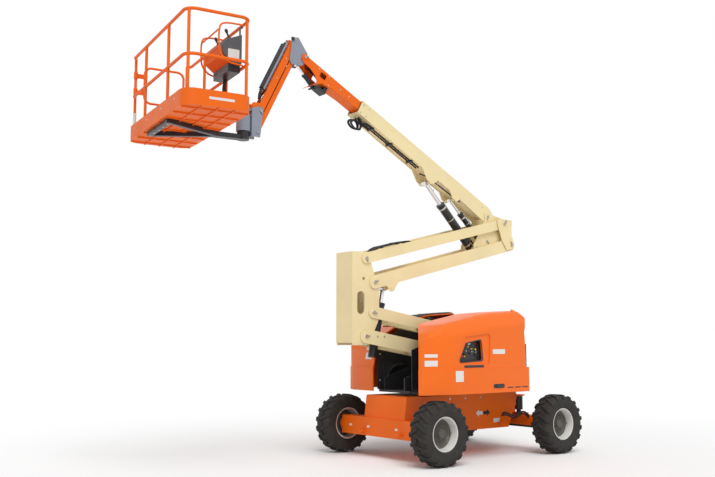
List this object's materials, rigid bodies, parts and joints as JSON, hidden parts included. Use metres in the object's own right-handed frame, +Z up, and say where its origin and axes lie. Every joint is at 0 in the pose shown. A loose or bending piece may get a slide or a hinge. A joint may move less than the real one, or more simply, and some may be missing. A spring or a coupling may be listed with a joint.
{
  "type": "articulating boom lift",
  "caption": "Self-propelled articulating boom lift: wheeled chassis, slewing turntable with covers, folding parallelogram tower, telescopic boom, jib and railed work platform.",
  "frame": {"origin": "on the ground under the centre of the slewing ring", "axes": "+X forward towards the work platform, +Y to the machine's left, +Z up"},
  "size_m": [6.4048, 2.4283, 5.602],
  "materials": {
    "orange_paint": "satin",
    "cream_paint": "satin",
    "grey_paint": "satin",
    "black_paint": "satin",
    "hood_plastic": "gloss",
    "rim_paint": "satin",
    "tyre_rubber": "matte",
    "rod_chrome": "polished",
    "cast_weight": "matte",
    "engine_metal": "matte",
    "tank_plastic": "matte",
    "console_plastic": "matte"
  },
  "bodies": {
    "chassis": {"chassis_frame": "orange_paint", "slew_ring": "black_paint", "rear_axle": "orange_paint", "axle_hanger": "orange_paint", "lockout_cylinders": "black_paint"},
    "wheel_front_left": {"tyre_front_left": "tyre_rubber", "rim_front_left": "rim_paint"},
    "wheel_front_right": {"tyre_front_right": "tyre_rubber", "rim_front_right": "rim_paint"},
    "wheel_rear_left": {"tyre_rear_left": "tyre_rubber", "rim_rear_left": "rim_paint"},
    "wheel_rear_right": {"tyre_rear_right": "tyre_rubber", "rim_rear_right": "rim_paint"},
    "knuckle_left": {"knuckle_left": "orange_paint"},
    "knuckle_right": {"knuckle_right": "orange_paint"},
    "tie_rod": {"tie_rod": "black_paint"},
    "turntable": {"turntable_frame": "black_paint", "counterweight": "cast_weight", "engine_block": "engine_metal", "hydraulic_tank": "tank_plastic", "fuel_tank": "tank_plastic", "ground_control": "console_plastic"},
    "hood_left": {"hood_left": "hood_plastic"},
    "hood_right": {"hood_right": "hood_plastic"},
    "lower_arm": {"lower_arm": "cream_paint"},
    "lower_link": {"lower_link": "cream_paint"},
    "upright": {"upright": "cream_paint"},
    "upper_arm": {"upper_arm": "cream_paint"},
    "upper_link": {"upper_link": "cream_paint"},
    "end_bracket": {"end_bracket": "cream_paint"},
    "tower_barrel": {"tower_barrel": "black_paint"},
    "tower_rod": {"tower_rod": "rod_chrome"},
    "boom": {"boom_base": "cream_paint"},
    "lift_barrel": {"lift_barrel": "black_paint"},
    "lift_rod": {"lift_rod": "rod_chrome"},
    "level_barrel": {"level_barrel": "black_paint"},
    "level_rod": {"level_rod": "rod_chrome"},
    "fly": {"boom_fly": "orange_paint"},
    "knuckle": {"knuckle": "grey_paint"},
    "slave_barrel": {"slave_barrel": "black_paint"},
    "slave_rod": {"slave_rod": "rod_chrome"},
    "jib_arm": {"jib_arm": "orange_paint"},
    "jib_link": {"jib_link": "orange_paint"},
    "jib_end": {"jib_end": "grey_paint"},
    "jib_barrel": {"jib_barrel": "black_paint"},
    "jib_rod": {"jib_rod": "rod_chrome"},
    "platform": {"platform_support": "black_paint", "platform_floor": "orange_paint", "platform_rails": "orange_paint", "control_console": "console_plastic", "foot_switch": "console_plastic"},
    "platform_gate": {"platform_gate": "orange_paint"}
  },
  "joints": [
    {"name": "wheel_front_left_spin", "type": "hinge", "parent": "chassis", "child": "wheel_front_left", "pos_m": [1.165, 1.0195, 0.419], "axis": [0, 1, 0], "continuous": true},
    {"name": "wheel_front_right_spin", "type": "hinge", "parent": "chassis", "child": "wheel_front_right", "pos_m": [1.165, -1.0195, 0.419], "axis": [0, 1, 0], "continuous": true},
    {"name": "wheel_rear_left_spin", "type": "hinge", "parent": "knuckle_left", "child": "wheel_rear_left", "pos_m": [-1.165, 1.0195, 0.419], "axis": [0, 1, 0], "continuous": true},
    {"name": "wheel_rear_right_spin", "type": "hinge", "parent": "knuckle_right", "child": "wheel_rear_right", "pos_m": [-1.165, -1.0195, 0.419], "axis": [0, 1, 0], "continuous": true},
    {"name": "steering", "type": "hinge", "parent": "chassis", "child": "knuckle_left", "pos_m": [-1.165, 0.8, 0.419], "axis": [0, 0, 1], "range_deg": [-32, 32]},
    {"name": "steering_right", "type": "hinge", "parent": "chassis", "child": "knuckle_right", "pos_m": [-1.165, -0.8, 0.419], "axis": [0, 0, 1], "range_deg": [-32, 32]},
    {"name": "tie_rod_pivot", "type": "hinge", "parent": "knuckle_left", "child": "tie_rod", "pos_m": [-0.955, 0.8, 0.419], "axis": [0, 0, 1], "range_deg": [-32, 32]},
    {"name": "swing", "type": "hinge", "parent": "chassis", "child": "turntable", "pos_m": [0, 0, 0.894], "axis": [0, 0, 1], "range_deg": [-177.5, 177.5]},
    {"name": "hood_left_open", "type": "hinge", "parent": "turntable", "child": "hood_left", "pos_m": [0, 0.32, 1.94], "axis": [1, 0, 0], "range_deg": [0, 70]},
    {"name": "hood_right_open", "type": "hinge", "parent": "turntable", "child": "hood_right", "pos_m": [0, -0.32, 1.94], "axis": [-1, 0, 0], "range_deg": [0, 70]},
    {"name": "tower_raise", "type": "hinge", "parent": "turntable", "child": "lower_arm", "pos_m": [-0.65, 0, 1.619], "axis": [0, -1, 0], "range_deg": [-14.5, 58.5]},
    {"name": "lower_link_pivot", "type": "hinge", "parent": "turntable", "child": "lower_link", "pos_m": [-0.519, 0, 1.298], "axis": [0, -1, 0], "range_deg": [-14.5, 58.5]},
    {"name": "upright_pivot", "type": "hinge", "parent": "lower_arm", "child": "upright", "pos_m": [1.57407, 0, 1.99118], "axis": [0, -1, 0], "range_deg": [-58.5, 14.5]},
    {"name": "upper_arm_pivot", "type": "hinge", "parent": "upright", "child": "upper_arm", "pos_m": [1.55207, 0, 2.40018], "axis": [0, -1, 0], "range_deg": [-58.5, 14.5]},
    {"name": "upper_link_pivot", "type": "hinge", "parent": "upright", "child": "upper_link", "pos_m": [1.69907, 0, 2.71918], "axis": [0, -1, 0], "range_deg": [-58.5, 14.5]},
    {"name": "end_bracket_pivot", "type": "hinge", "parent": "upper_arm", "child": "end_bracket", "pos_m": [-1.16783, 0, 3.08994], "axis": [0, -1, 0], "range_deg": [-14.5, 58.5]},
    {"name": "tower_pivot", "type": "hinge", "parent": "lower_link", "child": "tower_barrel", "pos_m": [1.39007, 0, 1.66618], "axis": [0, -1, 0], "range_deg": [-61.26, 15.19]},
    {"name": "tower_stroke", "type": "slide", "parent": "tower_barrel", "child": "tower_rod", "axis": [-0.1995, 0, 0.9799], "range_m": [-0.1456, 0.5868]},
    {"name": "boom_lift", "type": "hinge", "parent": "end_bracket", "child": "boom", "pos_m": [-0.72983, 0, 3.49994], "axis": [0, -1, 0], "range_deg": [-25.3, 47.7]},
    {"name": "lift_pivot", "type": "hinge", "parent": "end_bracket", "child": "lift_barrel", "pos_m": [-0.47983, 0, 2.99994], "axis": [0, -1, 0], "range_deg": [-20.52, 38.68]},
    {"name": "lift_stroke", "type": "slide", "parent": "lift_barrel", "child": "lift_rod", "axis": [0.7071, 0, 0.7071], "range_m": [-0.2094, 0.3946]},
    {"name": "level_pivot", "type": "hinge", "parent": "end_bracket", "child": "level_barrel", "pos_m": [-0.69983, 0, 3.11994], "axis": [0, -1, 0], "range_deg": [-17.77, 33.49]},
    {"name": "level_stroke", "type": "slide", "parent": "level_barrel", "child": "level_rod", "axis": [0.7375, 0, 0.6753], "range_m": [-0.111, 0.2091]},
    {"name": "telescope", "type": "slide", "parent": "boom", "child": "fly", "axis": [0.8886, 0, 0.4587], "range_m": [0, 1.95]},
    {"name": "knuckle_level", "type": "hinge", "parent": "fly", "child": "knuckle", "pos_m": [2.65583, 0, 5.34982], "axis": [0, -1, 0], "range_deg": [-47.7, 25.3]},
    {"name": "slave_pivot", "type": "hinge", "parent": "fly", "child": "slave_barrel", "pos_m": [2.46231, 0, 4.98998], "axis": [0, -1, 0], "range_deg": [-2.87, 5.4]},
    {"name": "slave_stroke", "type": "slide", "parent": "slave_barrel", "child": "slave_rod", "axis": [0.7119, 0, 0.7023], "range_m": [-0.0913, 0.0485]},
    {"name": "jib_lift", "type": "hinge", "parent": "knuckle", "child": "jib_arm", "pos_m": [2.8, 0, 5.55], "axis": [0, -1, 0], "range_deg": [0, 144]},
    {"name": "jib_link_pivot", "type": "hinge", "parent": "knuckle", "child": "jib_link", "pos_m": [2.845, 0, 5.262], "axis": [0, -1, 0], "range_deg": [0, 144]},
    {"name": "jib_end_pivot", "type": "hinge", "parent": "jib_arm", "child": "jib_end", "pos_m": [3.32663, 0, 4.51643], "axis": [0, -1, 0], "range_deg": [-144, 0]},
    {"name": "jib_pivot", "type": "hinge", "parent": "knuckle", "child": "jib_barrel", "pos_m": [2.845, 0, 5.262], "axis": [0, -1, 0], "range_deg": [-0.01, 142.57]},
    {"name": "jib_stroke", "type": "slide", "parent": "jib_barrel", "child": "jib_rod", "axis": [0.5426, 0, -0.84], "range_m": [-0.0002, 0.5531]},
    {"name": "platform_rotate", "type": "hinge", "parent": "jib_end", "child": "platform", "pos_m": [3.535, 0, 4.18], "axis": [0, 0, 1], "range_deg": [-81.6, 98.4]},
    {"name": "gate_swing", "type": "hinge", "parent": "platform", "child": "platform_gate", "pos_m": [4.46026, -1.20435, 4.72], "axis": [0, 0, 1], "range_deg": [-90, 0]}
  ],
  "couplings": [
    {"joint": "steering_right", "follows": "steering", "ratio": 1},
    {"joint": "tie_rod_pivot", "follows": "steering", "ratio": -1},
    {"joint": "lower_link_pivot", "follows": "tower_raise", "ratio": 1},
    {"joint": "upright_pivot", "follows": "tower_raise", "ratio": -1},
    {"joint": "upper_arm_pivot", "follows": "tower_raise", "ratio": -1},
    {"joint": "upper_link_pivot", "follows": "tower_raise", "ratio": -1},
    {"joint": "end_bracket_pivot", "follows": "tower_raise", "ratio": 1},
    {"joint": "tower_pivot", "follows": "tower_raise", "ratio": -1.0471},
    {"joint": "tower_stroke", "follows": "tower_raise", "m_per_rad": 0.57455},
    {"joint": "lift_pivot", "follows": "boom_lift", "ratio": 0.81062},
    {"joint": "lift_stroke", "follows": "boom_lift", "m_per_rad": 0.47378},
    {"joint": "level_pivot", "follows": "boom_lift", "ratio": 0.70186},
    {"joint": "level_stroke", "follows": "boom_lift", "m_per_rad": 0.25094},
    {"joint": "knuckle_level", "follows": "boom_lift", "ratio": -1},
    {"joint": "slave_pivot", "follows": "boom_lift", "ratio": 0.11304},
    {"joint": "slave_stroke", "follows": "boom_lift", "m_per_rad": -0.1094},
    {"joint": "jib_link_pivot", "follows": "jib_lift", "ratio": 1},
    {"joint": "jib_end_pivot", "follows": "jib_lift", "ratio": -1},
    {"joint": "jib_pivot", "follows": "jib_lift", "ratio": 0.99},
    {"joint": "jib_stroke", "follows": "jib_lift", "m_per_rad": 0.22}
  ]
}
